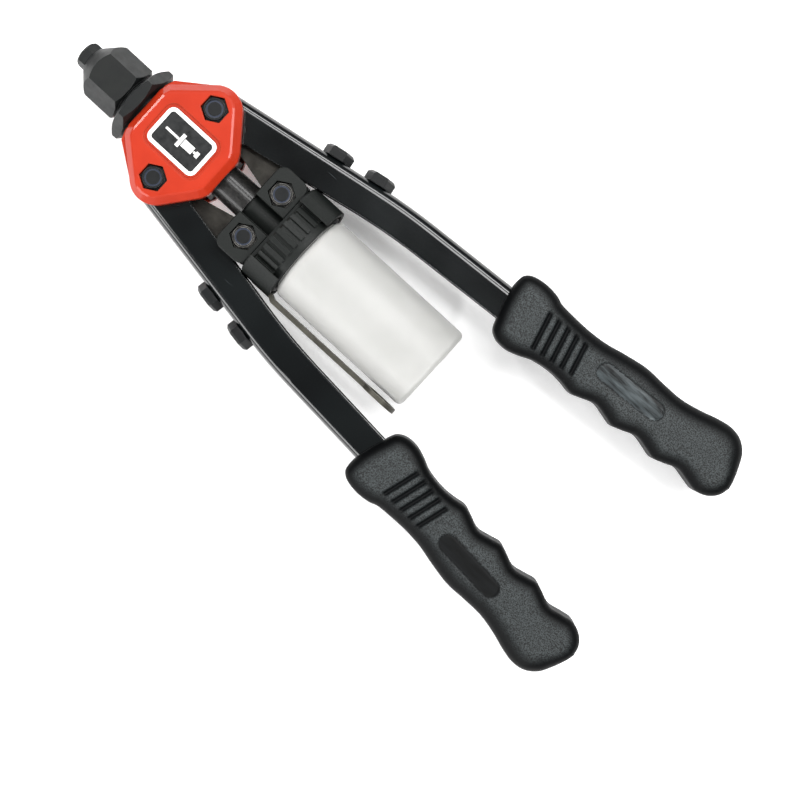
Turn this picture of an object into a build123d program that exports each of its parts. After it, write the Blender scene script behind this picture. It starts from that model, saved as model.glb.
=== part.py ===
"""Two-handed lever riveter for blind rivets, about 330 mm long, lying with its handles closed.

Frame: origin at the centre of the nosepiece mouth, +X along the tool towards the handles,
+Y towards the upper arm, +Z out of the badge face. Everything is in millimetres.
"""
from build123d import *
import math
import os

os.makedirs("parts", exist_ok=True)

# ---- fits and clearances
running_fit = 0.05        # radial gap of a pin or sleeve that turns in its bore
slip_fit = 0.05           # gap between pieces that are assembled and stay put
side_gap = 0.3            # gap between faces that pass each other
open_eye_gap = 1.45       # radial play of the link eyes on the yoke bolts
bolt_ease = 0.01          # radial gap of threads and press fits

# ---- nose
nose_bore_r = 2.05        # passes a 4 mm rivet mandrel
nose_hex_af = 11.0
nose_hex_length = 5.0
nose_thread_r = 4.0
nose_thread_length = 8.0
nose_tip_length = 3.2
nose_tip_r = 3.1
head_hex_af = 23.6
head_hex_end = 28.0       # rear face of the frame head
head_cone_end = 12.0      # where the front cone meets the full hexagon
head_front_r = 6.5
locknut_af = 32.0
locknut_start = 30.8
locknut_width = 5.6
nut_chamfer = 1.6
stub_thread_r = 10.0
stub_start = 17.3
thread_pitch = 1.5

# ---- head
pivot_x = 61.0            # nosepiece mouth to the arm pivots
pivot_y = 19.4            # arm pivots to the centre line
bolt_r = 3.0              # M6
bolt_head_af = 10.0
bolt_head_height = 4.0
nyloc_height = 6.0
nyloc_collar_r = 4.55
ring_r = 3.75
recess_af = 10.7
bush_r = 4.5
barrel_r = 11.3
barrel_bore_r = 8.05
barrel_flat_y = 10.4
barrel_room_front = 14.0  # the arms pass the barrel from this far ahead of the pivots
barrel_start = 37.7
barrel_end = 82.0
cover_inner_z = 8.0
cover_outer_z = 15.0
cover_bevel = 3.2
cover_pull_in = 2.6       # how much narrower the raised front is than the flange
cover_edge = 0.7          # second small bevel that softens the top edge
cover_lobe_r = 11.0
cover_flange = 2.2
cover_front_x = pivot_x - 23.3
cover_rear_x = pivot_x + 21.7
cover_rear_half = 9.0
cover_front_in = 6.9      # ends of the straight front edge, inside the pivots
cover_corner = (1.5, 2.6)      # flange corners: behind the front edge, inside the pivots
cover_waist = (20.0, 6.9)      # corners behind the lobes: behind the pivots, inside them
lobe_shift = 0.5          # lobe centres behind the pivots
recess_depth = 0.3        # nuts below the face they sit in
sweep_r = 12.2            # room around each pivot for the arm's front corner
badge_length = 26.6
badge_width = 18.2
badge_corner_r = 3.3
badge_border = 1.7
badge_thickness = 0.9
badge_x = pivot_x - 1.0

# ---- arms, in a plane with its origin on the pivot
arm_height = 14.0         # channel size along Z
sheet = 2.0
arm_outer_y = 11.0        # web face to the pivot
front_lean = 10.0         # degrees outward
rear_lean = 4.2
bend_x = 87.0
bend_radius = 280.0
arm_end_x = 205.0
arm_front_width = 16.6
arm_rear_width = 14.3
eye_r = 8.5
pin_eye_r = 6.2
link_pin = (12.0, 0.65)   # moving pin of the toggle, from the pivot
link_pin_r = 3.0
inner_start_x = 14.0      # where the straight inner edge starts
web_edge_r = 4.3          # outside bend of the pressed channel
inner_edge_r = 0.4
core_gap = 0.2            # core to flange
core_end_x = 76.0
core_recess = 1.3
arm_bolt_x = (50.2, 70.8)
arm_bolt_r = 4.0          # M8
arm_bolt_af = 12.0
arm_bolt_bevel = 1.1
arm_bolt_head = 4.6
arm_bolt_depth = 13.5     # thread below the web's outer face

# ---- toggle links and yoke
yoke_bolt = (pivot_x + 44.6, 12.1)
link_half = 2.5
link_eye_r = 5.75
yoke_start = 97.0
yoke_end = 113.3
yoke_ear_y = 22.3
yoke_inner_y = 4.9
yoke_top_z = 12.5
yoke_block_y = 19.6       # the ears are thin outside this, where the arm passes under
yoke_barrel_r = 6.5
yoke_flat_y = 4.7
flange_gap = 0.35         # arm flange to ear

# ---- puller
tube_r = 7.9
tube_bore_r = 2.75
tube_start = 52.0
tube_stub_r = 3.9
tube_stub = 2.4
case_start = 24.0
case_r = 7.9
case_front_r = 4.2
cone_angle = 10.0
jaw_length = 10.4
jaw_gap = 0.6
jaw_bore_r = 1.3
jaw_travel = 2.5          # how far the nosepiece pushes the jaws back at full opening
pusher_length = 6.0
spring_wire_r = 0.5
jaw_count = 3

# ---- holder, bottle and spanner
holder_start = 113.3
holder_wall = 1.6
holder_end = 129.4
holder_r = 24.25
holder_bore_r = 22.35
window_y = 15.2
spigot_r = 12.0
spigot_length = 8.6
cap_start = 115.3
cap_wall = 3.1
cap_end = 129.3
cap_r = 20.9
cap_rib_height = 1.15
cap_rib_count = 32
cap_rib_width = 2.2
cap_rib_length = 10.5
neck_r = 18.0
bottle_start = 129.5
bottle_end = 203.2
bottle_r = 20.75
bottle_wall = 1.3
spanner_y = -24.3
spanner_thickness = 2.2
spanner_height = 6.0
spanner_tip_x = 203.0
spanner_head_r = 9.0
spanner_ring = 11.0       # across flats of the ring's hexagon

# ---- grips, in a plane along the arm
grip_x = 206.0
grip_length = 124.8
grip_half = 12.0
grip_round = 5.0
grip_lean = 4.33
bump_pitch = 22.4
first_bump = 46.3
bump_count = 3
crest_v = 13.2            # finger bumps and the valleys between them, from the grip line
valley_v = 10.2


def save(part, name):
    part.label = name
    export_step(part, f"parts/{name}.step")


def turned(points):
    """Solid of revolution about the tool's axis from (x, radius) points."""
    with BuildPart() as shape:
        with BuildSketch(Plane.XZ):
            with BuildLine():
                Polyline(*points, close=True)
            make_face()
        revolve(axis=Axis.X)
    return shape.part


def hex_bar(flats, start, end, turn=0):
    """Hexagonal bar along the tool's axis; at turn 0 one flat faces up."""
    with BuildPart() as bar:
        with BuildSketch(Plane.YZ.offset(start)):
            RegularPolygon(flats / 2, 6, major_radius=False, rotation=turn)
        extrude(amount=end - start)
    return bar.part


def rod_z(x, y, radius, low, high):
    """Round bar along Z."""
    with BuildPart() as rod:
        with BuildSketch(Plane.XY.offset(low)):
            with Locations((x, y)):
                Circle(radius)
        extrude(amount=high - low)
    return rod.part


def hex_z(x, y, flats, low, high):
    """Hexagonal bar along Z with corners towards +Y and -Y."""
    with BuildPart() as bar:
        with BuildSketch(Plane.XY.offset(low)):
            with Locations((x, y)):
                RegularPolygon(flats / 2, 6, major_radius=False, rotation=90)
        extrude(amount=high - low)
    return bar.part


def box(x, y, z):
    """Block between two values on each axis."""
    with BuildPart() as block:
        with BuildSketch(Plane.XY.offset(z[0])):
            with Locations(((x[0] + x[1]) / 2, (y[0] + y[1]) / 2)):
                Rectangle(x[1] - x[0], y[1] - y[0])
        extrude(amount=z[1] - z[0])
    return block.part


def hex_bolts(spots, head_low, tip_z):
    """M6 hexagon bolts whose heads are on the back and whose tips point to +Z."""
    shanks = [rod_z(x, y, bolt_r, head_low + bolt_head_height, tip_z) for x, y in spots]
    heads = [hex_z(x, y, bolt_head_af, head_low, head_low + bolt_head_height) for x, y in spots]
    with BuildPart() as bolts:
        add(heads)
        chamfer(bolts.faces().sort_by(Axis.Z)[:len(spots)].edges(), 0.5)
        add(shanks)
    return bolts.part


def nyloc_nuts(spots, low):
    """M6 lock nuts: a hexagon with a round collar; the collar holds a nylon ring."""
    hexes = [hex_z(x, y, bolt_head_af, low, low + 0.68 * nyloc_height) for x, y in spots]
    collars = [rod_z(x, y, nyloc_collar_r, low, low + nyloc_height) for x, y in spots]
    seats = [rod_z(x, y, ring_r, low + nyloc_height - 1.9, low + nyloc_height) for x, y in spots]
    bores = [rod_z(x, y, bolt_r, low, low + nyloc_height) for x, y in spots]
    with BuildPart() as nuts:
        add(hexes)
        add(collars)
        add(seats, mode=Mode.SUBTRACT)
        add(bores, mode=Mode.SUBTRACT)
    return nuts.part


def nyloc_rings(spots, low):
    """Nylon rings that sit in the collars, 0.4 mm below their rims."""
    outer = [rod_z(x, y, ring_r, low + nyloc_height - 1.9, low + nyloc_height - 0.4) for x, y in spots]
    inner = [rod_z(x, y, bolt_r, low, low + nyloc_height) for x, y in spots]
    with BuildPart() as rings:
        add(outer)
        add(inner, mode=Mode.SUBTRACT)
    return rings.part


pivots = [(pivot_x, pivot_y), (pivot_x, -pivot_y)]
yoke_bolts_at = [yoke_bolt, (yoke_bolt[0], -yoke_bolt[1])]
cover_nut_z = cover_outer_z - nyloc_height + recess_depth
yoke_nut_z = yoke_top_z - nyloc_height + recess_depth - 0.1

# ---- nosepiece: domed hexagon, thread, and the tip that opens the jaws
thread_end = nose_hex_length + nose_thread_length
tip_end = thread_end + nose_tip_length
hexagon = hex_bar(nose_hex_af, 0, nose_hex_length, turn=12)
dome_r = nose_hex_af / 2 + 0.9
dome = turned([(0, 0), (0, 4.4), (0.35, 5.2), (1.2, 6.0), (2.2, dome_r), (nose_hex_length, dome_r),
               (nose_hex_length, 0)])
shank = turned([(nose_hex_length, 0), (nose_hex_length, nose_thread_r), (thread_end, nose_thread_r),
                (tip_end, nose_tip_r), (tip_end, 0)])
with BuildPart() as nosepiece:
    add(hexagon)
    add(dome, mode=Mode.INTERSECT)
    add(shank)
    add(turned([(-1, 0), (-1, nose_bore_r), (tip_end + 1, nose_bore_r), (tip_end + 1, 0)]),
        mode=Mode.SUBTRACT)
save(nosepiece.part, "nosepiece")

# ---- frame head: hexagon with a front cone, screwed on the head body's stub
corner_r = head_hex_af / math.sqrt(3)
frame_bar = hex_bar(head_hex_af, nose_hex_length, head_hex_end)
frame_cone = turned([(nose_hex_length, 0), (nose_hex_length, head_front_r), (head_cone_end, corner_r),
                     (head_hex_end - 1.1, corner_r), (head_hex_end, corner_r - 1.9), (head_hex_end, 0)])
chamber = turned([(nose_hex_length - 1, 0), (nose_hex_length - 1, nose_thread_r + slip_fit),
                  (thread_end - 0.4, nose_thread_r + slip_fit), (thread_end - 0.4, barrel_bore_r),
                  (stub_start - 0.3, barrel_bore_r), (stub_start - 0.3, stub_thread_r + slip_fit),
                  (head_hex_end + 1, stub_thread_r + slip_fit), (head_hex_end + 1, 0)])
with BuildPart() as frame_head:
    add(frame_bar)
    add(frame_cone, mode=Mode.INTERSECT)
    add(chamber, mode=Mode.SUBTRACT)
save(frame_head.part, "frame_head")

# ---- lock nut: thin hexagon, chamfered on both faces
nut_corner_r = locknut_af / math.sqrt(3)
nut_end = locknut_start + locknut_width
nut_bar = hex_bar(locknut_af, locknut_start, nut_end)
nut_round = turned([(locknut_start, 0), (locknut_start, locknut_af / 2 - 0.2),
                    (locknut_start + nut_chamfer, nut_corner_r), (nut_end - nut_chamfer, nut_corner_r),
                    (nut_end, locknut_af / 2 - 0.2), (nut_end, 0)])
nut_hole = turned([(locknut_start - 1, 0), (locknut_start - 1, stub_thread_r + slip_fit),
                   (nut_end + 1, stub_thread_r + slip_fit), (nut_end + 1, 0)])
with BuildPart() as lock_nut:
    add(nut_bar)
    add(nut_round, mode=Mode.INTERSECT)
    add(nut_hole, mode=Mode.SUBTRACT)
save(lock_nut.part, "lock_nut")

# ---- cover outline: two round lobes joined by straight edges
lobe_spots = [(pivot_x + lobe_shift, pivot_y), (pivot_x + lobe_shift, -pivot_y)]


def cover_sketch(pull_in):
    """Hull of the lobes and a straight-edged middle, whose front corners are pulled in."""
    half = [(cover_front_x, pivot_y - cover_front_in - pull_in),
            (cover_front_x + cover_corner[0], pivot_y - cover_corner[1] - pull_in),
            (pivot_x + cover_waist[0], pivot_y - cover_waist[1]), (cover_rear_x, cover_rear_half)]
    with BuildSketch() as outline:
        with Locations(*lobe_spots):
            Circle(cover_lobe_r)
        Polygon(*half, *[(x, -y) for x, y in reversed(half)], align=None)
        make_hull()
    return outline.sketch


cover_outline = cover_sketch(0)
cover_top = cover_sketch(cover_pull_in)

# ---- head body: threaded stub, barrel with flats for the arms, and a front block between the covers
thread_grooves = []
groove_x = head_hex_end + 0.6
while groove_x < locknut_start - 0.4:
    thread_grooves.append(turned([(groove_x - 0.5, stub_thread_r + 0.1), (groove_x, stub_thread_r - 0.85),
                                  (groove_x + 0.5, stub_thread_r + 0.1)]))
    groove_x += thread_pitch
stub_and_barrel = turned([(stub_start, barrel_bore_r), (stub_start, stub_thread_r),
                          (barrel_start, stub_thread_r), (barrel_start, barrel_r),
                          (barrel_end, barrel_r), (barrel_end, barrel_bore_r)])
flat_room = [box((pivot_x - barrel_room_front, barrel_end + 1), side, (-cover_inner_z, cover_inner_z))
             for side in ((barrel_flat_y, 20), (-20, -barrel_flat_y))]
bore_rod = turned([(stub_start - 1, 0), (stub_start - 1, barrel_bore_r), (barrel_end + 1, barrel_bore_r),
                   (barrel_end + 1, 0)])
with BuildPart() as front_block:
    with BuildSketch(Plane.XY.offset(-cover_inner_z)):
        add(cover_outline)
        with Locations((pivot_x + 36.5, 0)):
            Rectangle(100, 100, mode=Mode.SUBTRACT)
        with Locations(*pivots):
            Circle(sweep_r, mode=Mode.SUBTRACT)
    extrude(amount=2 * cover_inner_z)
with BuildPart() as head_body:
    add(stub_and_barrel)
    add(flat_room, mode=Mode.SUBTRACT)
    add(front_block.part)
    add(bore_rod, mode=Mode.SUBTRACT)
    add(thread_grooves, mode=Mode.SUBTRACT)
save(head_body.part, "head_body")

# ---- covers: painted shells with a bevelled rim, a channel for the barrel and hexagon recesses
barrel_room = turned([(barrel_start - 5, 0), (barrel_start - 5, barrel_r + slip_fit),
                      (barrel_end + 5, barrel_r + slip_fit), (barrel_end + 5, 0)])
cover_recesses = [hex_z(x, y, recess_af, cover_nut_z, cover_outer_z + 1) for x, y in pivots]
cover_holes = [rod_z(x, y, bolt_r + slip_fit, 0, cover_outer_z + 1) for x, y in pivots]
with BuildPart() as badge_room:
    with BuildSketch(Plane.XY.offset(cover_outer_z - 0.5)):
        with Locations((badge_x, 0)):
            RectangleRounded(badge_length + 0.2, badge_width + 0.2, badge_corner_r + 0.1)
    extrude(amount=2)
with BuildPart() as badge_groove:
    with BuildSketch(Plane.XY.offset(cover_outer_z - 0.45)):
        with Locations((badge_x, 0)):
            RectangleRounded(badge_length + 3.4, badge_width + 3.4, badge_corner_r + 1.7)
            RectangleRounded(badge_length + 1.4, badge_width + 1.4, badge_corner_r + 0.7,
                             mode=Mode.SUBTRACT)
    extrude(amount=2)
with BuildPart() as plain_cover:
    with BuildSketch(Plane.XY.offset(cover_inner_z)):
        add(cover_top)
    extrude(amount=cover_outer_z - cover_inner_z)
    chamfer(plain_cover.faces().sort_by(Axis.Z)[-1].edges(), cover_bevel)
    chamfer(plain_cover.faces().sort_by(Axis.Z)[-1].edges(), cover_edge, cover_edge / 2)
    with BuildSketch(Plane.XY.offset(cover_inner_z)):
        add(cover_outline)
    extrude(amount=cover_flange)
with BuildPart() as front_cover:
    add(plain_cover.part)
    add(barrel_room, mode=Mode.SUBTRACT)
    add(cover_recesses, mode=Mode.SUBTRACT)
    add(cover_holes, mode=Mode.SUBTRACT)
    add(badge_room.part, mode=Mode.SUBTRACT)
    add(badge_groove.part, mode=Mode.SUBTRACT)
save(front_cover.part, "front_cover")

rear_recesses = [hex_z(x, y, recess_af, cover_outer_z - bolt_head_height - 0.2, cover_outer_z + 1)
                 for x, y in pivots]
with BuildPart() as rear_cover_up:
    add(plain_cover.part)
    add(barrel_room, mode=Mode.SUBTRACT)
    add(rear_recesses, mode=Mode.SUBTRACT)
    add(cover_holes, mode=Mode.SUBTRACT)
with BuildPart() as rear_cover:
    mirror(rear_cover_up.part, about=Plane.XY)
save(rear_cover.part, "rear_cover")

# ---- badge: dark field inside a light border
badge_low = cover_outer_z - 0.5
with BuildPart() as badge_frame:
    with BuildSketch(Plane.XY.offset(badge_low)):
        with Locations((badge_x, 0)):
            RectangleRounded(badge_length, badge_width, badge_corner_r)
            RectangleRounded(badge_length - 2 * badge_border, badge_width - 2 * badge_border,
                             badge_corner_r - badge_border, mode=Mode.SUBTRACT)
    extrude(amount=badge_thickness)
save(badge_frame.part, "badge_frame")
with BuildPart() as badge_plate:
    with BuildSketch(Plane.XY.offset(badge_low)):
        with Locations((badge_x, 0)):
            RectangleRounded(badge_length - 2 * badge_border, badge_width - 2 * badge_border,
                             badge_corner_r - badge_border)
    extrude(amount=badge_thickness - 0.25)
save(badge_plate.part, "badge_plate")

# ---- pivot fasteners: bolts, sleeves, washers and lock nuts
save(hex_bolts(pivots, -cover_outer_z + 0.1, cover_nut_z + nyloc_height - 0.2), "pivot_bolts")
save(nyloc_nuts(pivots, cover_nut_z), "pivot_nuts")
save(nyloc_rings(pivots, cover_nut_z), "pivot_nut_rings")
with BuildPart() as pivot_bushes:
    with BuildSketch(Plane.XY.offset(-cover_inner_z)):
        with Locations(*pivots):
            Circle(bush_r)
            Circle(bolt_r + slip_fit, mode=Mode.SUBTRACT)
    extrude(amount=2 * cover_inner_z)
save(pivot_bushes.part, "pivot_bushes")
with BuildPart() as pivot_washers:
    for low in (-cover_inner_z, arm_height / 2 + slip_fit):
        with BuildSketch(Plane.XY.offset(low)):
            with Locations(*pivots):
                Circle(eye_r - 1)
                Circle(bush_r + slip_fit, mode=Mode.SUBTRACT)
        extrude(amount=cover_inner_z - arm_height / 2 - slip_fit)
save(pivot_washers.part, "pivot_washers")

# ---- arm outlines in the pivot plane
arm_plane = Plane(origin=(pivot_x, pivot_y, 0))
front_slope = math.tan(math.radians(front_lean))
rear_slope = math.tan(math.radians(rear_lean))
bend_y = arm_outer_y + front_slope * bend_x
outer_points = [(-2.0, arm_outer_y - 2.0 * front_slope), (bend_x, bend_y),
                (arm_end_x, bend_y + rear_slope * (arm_end_x - bend_x))]
eye_points = [(link_pin[0] - 1, link_pin[1] - pin_eye_r + 1.5), (2, -4)]
inner_points = [(arm_end_x, outer_points[2][1] - arm_rear_width), (bend_x, bend_y - arm_rear_width - 0.6),
                (inner_start_x, arm_outer_y + front_slope * inner_start_x - arm_front_width)]


def channel_outline(grow=0.0):
    """Arm outline from the eyes to the rear end, in the pivot plane."""
    with BuildSketch() as outline:
        with BuildLine():
            FilletPolyline(*outer_points, radius=bend_radius)
            Line(outer_points[2], inner_points[0])
            FilletPolyline(*inner_points, radius=bend_radius)
            Polyline(inner_points[2], *eye_points, outer_points[0])
        make_face()
        Circle(eye_r)
        with Locations(link_pin):
            Circle(pin_eye_r)
        if grow:
            offset(amount=grow)
    return outline.sketch


arm_face = channel_outline()
with BuildPart() as arm_bar:
    with BuildSketch(arm_plane.offset(-arm_height / 2)):
        add(arm_face)
    extrude(amount=arm_height)
with BuildPart() as inside_room:
    with BuildSketch(arm_plane.offset(-arm_height / 2 + sheet)):
        with BuildLine():
            FilletPolyline((-30, outer_points[0][1] - 28 * front_slope - sheet), (bend_x, bend_y - sheet),
                           (arm_end_x + 1, outer_points[2][1] + rear_slope - sheet), radius=bend_radius)
            Polyline((arm_end_x + 1, outer_points[2][1] + rear_slope - sheet), (arm_end_x + 1, -30),
                     (-30, -30), (-30, outer_points[0][1] - 28 * front_slope - sheet))
        make_face()
    extrude(amount=arm_height - 2 * sheet)
    fillet(inside_room.edges().filter_by(lambda e: e.center().Y > pivot_y + 3 and
                                         abs(abs(e.center().Z) - arm_height / 2 + sheet) < 0.01
                                         and e.length > 60), inner_edge_r)
bolt_spots = []
for x in arm_bolt_x:
    bolt_spots.append((pivot_x + x, pivot_y + arm_outer_y + front_slope * x))
across = (-math.sin(math.radians(front_lean)), math.cos(math.radians(front_lean)), 0)


def across_plane(spot):
    """Plane on the web with its normal pointing out of the arm."""
    return Plane(origin=(spot[0], spot[1], 0), x_dir=(0, 0, 1), z_dir=across)


def across_rods(radius, low, high):
    """Round bars square to the arm's front run, one at each arm bolt."""
    rods = []
    for spot in bolt_spots:
        with BuildPart() as rod:
            with BuildSketch(across_plane(spot).offset(low)):
                Circle(radius)
            extrude(amount=high - low)
        rods.append(rod.part)
    return rods


pivot_bore = rod_z(pivot_x, pivot_y, bush_r + running_fit, -20, 20)
pin_spot = (pivot_x + link_pin[0], pivot_y + link_pin[1])
pin_bore = rod_z(pin_spot[0], pin_spot[1], link_pin_r + bolt_ease, -20, 20)
with BuildPart() as upper_channel:
    add(arm_bar.part)
    fillet(upper_channel.edges().filter_by(lambda e: e.center().Y > pivot_y + 20 and e.length > 60
                                           and abs(abs(e.center().Z) - arm_height / 2) < 0.01)
           .filter_by(lambda e: e.center().Y > pivot_y + arm_outer_y +
                      front_slope * min(e.center().X - pivot_x, bend_x) +
                      rear_slope * max(e.center().X - pivot_x - bend_x, 0) - 4), web_edge_r)
    add(inside_room.part, mode=Mode.SUBTRACT)
    add(pivot_bore, mode=Mode.SUBTRACT)
    add(pin_bore, mode=Mode.SUBTRACT)
    add(across_rods(arm_bolt_r + slip_fit, -arm_bolt_depth - 1, 2), mode=Mode.SUBTRACT)
save(upper_channel.part, "upper_channel")

# ---- lever core: solid bar inside the channel, slotted for the link
core_half = arm_height / 2 - sheet - core_gap
link_lean = math.degrees(math.atan2(pin_spot[1] - yoke_bolt[1], yoke_bolt[0] - pin_spot[0]))
link_length = math.hypot(yoke_bolt[0] - pin_spot[0], pin_spot[1] - yoke_bolt[1])
core_inner_slope = (inner_points[1][1] - inner_points[2][1]) / (inner_points[1][0] - inner_points[2][0])
core_in_start = inner_points[2][1] + core_recess
core_in_end = core_in_start + core_inner_slope * (core_end_x - inner_start_x)
core_out = arm_outer_y - sheet - slip_fit - 0.1
slot_r = link_eye_r + 0.5
slot_far = 28.0
slot_far_y = link_pin[1] + slot_r + 0.2 - slot_far * math.tan(math.radians(link_lean))
with BuildPart() as upper_lever_core:
    with BuildSketch(arm_plane.offset(-core_half)):
        Polygon((-1.5, core_out - 1.5 * front_slope), (core_end_x, core_out + core_end_x * front_slope),
                (core_end_x, core_in_end), (inner_start_x, core_in_start),
                *eye_points, align=None)
        Circle(eye_r)
        with Locations(link_pin):
            Circle(pin_eye_r)
    extrude(amount=2 * core_half)
    with BuildSketch(arm_plane.offset(-link_half - 0.2)):
        with Locations(link_pin):
            Circle(slot_r)
        Polygon((link_pin[0] - slot_r, link_pin[1]), (link_pin[0], link_pin[1] + slot_r + 0.2),
                (link_pin[0] + slot_far, slot_far_y), (link_pin[0] + slot_far, -30),
                (link_pin[0] - slot_r, -30), align=None)
    extrude(amount=2 * link_half + 0.4, mode=Mode.SUBTRACT)
    add(pivot_bore, mode=Mode.SUBTRACT)
    add(pin_bore, mode=Mode.SUBTRACT)
    add(across_rods(arm_bolt_r + bolt_ease, -30, 2), mode=Mode.SUBTRACT)
save(upper_lever_core.part, "upper_lever_core")

# ---- arm bolts: hexagon heads on the web, screwed into the core
arm_heads = []
for spot in bolt_spots:
    with BuildPart() as head:
        with BuildSketch(across_plane(spot)):
            RegularPolygon(arm_bolt_af / 2, 6, major_radius=False, rotation=90)
        extrude(amount=arm_bolt_head)
        chamfer(head.faces().sort_by(Axis(origin=(0, 0, 0), direction=across))[-1].edges(), arm_bolt_bevel)
    arm_heads.append(head.part)
arm_shanks = across_rods(arm_bolt_r, -arm_bolt_depth, 0.2)
with BuildPart() as upper_arm_bolts:
    add(arm_heads)
    add(arm_shanks)
save(upper_arm_bolts.part, "upper_arm_bolts")

# ---- link pin: pressed in, with its ends just under the flanges
pin_sink = 0.2
with BuildPart() as upper_link_pin:
    with BuildSketch(Plane.XY.offset(-arm_height / 2 + pin_sink)):
        with Locations(pin_spot):
            Circle(link_pin_r)
    extrude(amount=arm_height - 2 * pin_sink)
save(upper_link_pin.part, "upper_link_pin")

# ---- grip: moulded handle with finger bumps, hollow for the channel
grip_y = pivot_y + bend_y + rear_slope * (grip_x - pivot_x - bend_x) - arm_rear_width / 2 - 0.2
grip_plane = Plane(origin=(grip_x, grip_y, 0), x_dir=(math.cos(math.radians(grip_lean)),
                   math.sin(math.radians(grip_lean)), 0), z_dir=(0, 0, 1))
bumps = []
for index in range(bump_count - 1, -1, -1):
    bump_u = first_bump + index * bump_pitch
    bumps += [(bump_u + bump_pitch / 2, -valley_v), (bump_u, -crest_v)]
palm = [(0.5, 15.6), (9.4, 17.0), (18.2, 14.8), (33, 12.8), (43, 12.8), (58.4, 15.0), (65.4, 15.6),
        (81.4, 14.2), (98.6, 16.3), (109.8, 18.1), (119.4, 13.2), (123.9, 0.8), (grip_length, -3.3),
        (121, -10.2), (114, -13.1)]
fingers = bumps + [(34, -11.2), (22, -13.3), (12.8, -15.6), (4, -12.2), (0, -8)]
arm_hole_face = channel_outline(grow=slip_fit)
with BuildPart() as arm_hole:
    with BuildSketch(arm_plane.offset(-arm_height / 2 - slip_fit)):
        add(arm_hole_face)
        with Locations((0, 0)):
            Rectangle(2 * (grip_x - pivot_x - 20), 200, mode=Mode.SUBTRACT)
    extrude(amount=arm_height + 2 * slip_fit)
with BuildPart() as upper_grip:
    with BuildSketch(grip_plane.offset(-grip_half)):
        with BuildLine():
            outline = Spline(*palm, *fingers)
            Line(outline @ 1, outline @ 0)
        make_face()
    extrude(amount=2 * grip_half)
    fillet(upper_grip.faces().filter_by(Axis.Z).edges(), grip_round)
    add(arm_hole.part, mode=Mode.SUBTRACT)
save(upper_grip.part, "upper_grip")

# ---- the lower arm mirrors the upper one
for piece in ("channel", "lever_core", "arm_bolts", "link_pin", "grip"):
    source = {"channel": upper_channel, "lever_core": upper_lever_core, "arm_bolts": upper_arm_bolts,
              "link_pin": upper_link_pin, "grip": upper_grip}[piece]
    with BuildPart() as lower_piece:
        mirror(source.part, about=Plane.XZ)
    save(lower_piece.part, f"lower_{piece}")

# ---- toggle links: flat bars from the arm pins to the yoke bolts
with BuildPart() as upper_link:
    with BuildSketch(Plane.XY.offset(-link_half)):
        with Locations(pin_spot, yoke_bolt):
            Circle(link_eye_r)
        make_hull()
        with Locations(pin_spot):
            Circle(link_pin_r + running_fit, mode=Mode.SUBTRACT)
        with Locations(yoke_bolt):
            Circle(bolt_r + open_eye_gap, mode=Mode.SUBTRACT)
    extrude(amount=2 * link_half)
save(upper_link.part, "upper_link")
with BuildPart() as lower_link:
    mirror(upper_link.part, about=Plane.XZ)
save(lower_link.part, "lower_link")

# ---- puller tube and jaw case
tube_end = yoke_start
cone_slope = math.tan(math.radians(cone_angle))
cone_start = case_start + 1.0
cone_end = cone_start + jaw_length + jaw_travel + 0.3
case_inner_r = case_front_r + cone_slope * (cone_end - cone_start)
with BuildPart() as puller_tube:
    add(turned([(tube_start - 5, tube_bore_r), (tube_start - 5, case_inner_r - slip_fit),
                (tube_start, case_inner_r - slip_fit),
                (tube_start, tube_r), (tube_end, tube_r), (tube_end, tube_stub_r),
                (tube_end + tube_stub, tube_stub_r), (tube_end + tube_stub, tube_bore_r)]))
save(puller_tube.part, "puller_tube")
with BuildPart() as jaw_case:
    add(turned([(case_start, case_front_r), (case_start, case_r - 0.8), (case_start + 0.8, case_r),
                (tube_start, case_r), (tube_start, case_inner_r), (cone_end, case_inner_r),
                (cone_start, case_front_r)]))
save(jaw_case.part, "jaw_case")

# ---- jaws: three wedges of a cone that slide in the case
jaw_front = case_start + 0.2
jaw_end = jaw_front + jaw_length
jaw_start_r = case_front_r - 0.03
jaw_cone = turned([(jaw_front, jaw_bore_r), (jaw_front, jaw_start_r - 0.5), (cone_start + 0.1, jaw_start_r),
                   (jaw_end, jaw_start_r + cone_slope * (jaw_end - cone_start - 0.1)),
                   (jaw_end, jaw_bore_r)])
for index in range(jaw_count):
    turn = 360 / jaw_count * index
    with BuildPart() as sector:
        with BuildSketch(Plane.YZ.offset(jaw_front - 1)):
            with BuildLine():
                half = math.radians(180 / jaw_count)
                middle = math.radians(turn)
                inset = jaw_gap / 2 / math.sin(half)
                apex = (inset * math.cos(middle), inset * math.sin(middle))
                left = (20 * math.cos(middle - half), 20 * math.sin(middle - half))
                right = (20 * math.cos(middle + half), 20 * math.sin(middle + half))
                Polyline(apex, (apex[0] + left[0], apex[1] + left[1]),
                         (apex[0] + right[0], apex[1] + right[1]), close=True)
            make_face()
        extrude(amount=jaw_length + 2)
    with BuildPart() as jaw:
        add(jaw_cone)
        add(sector.part, mode=Mode.INTERSECT)
    save(jaw.part, f"jaw_{index + 1}")

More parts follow.
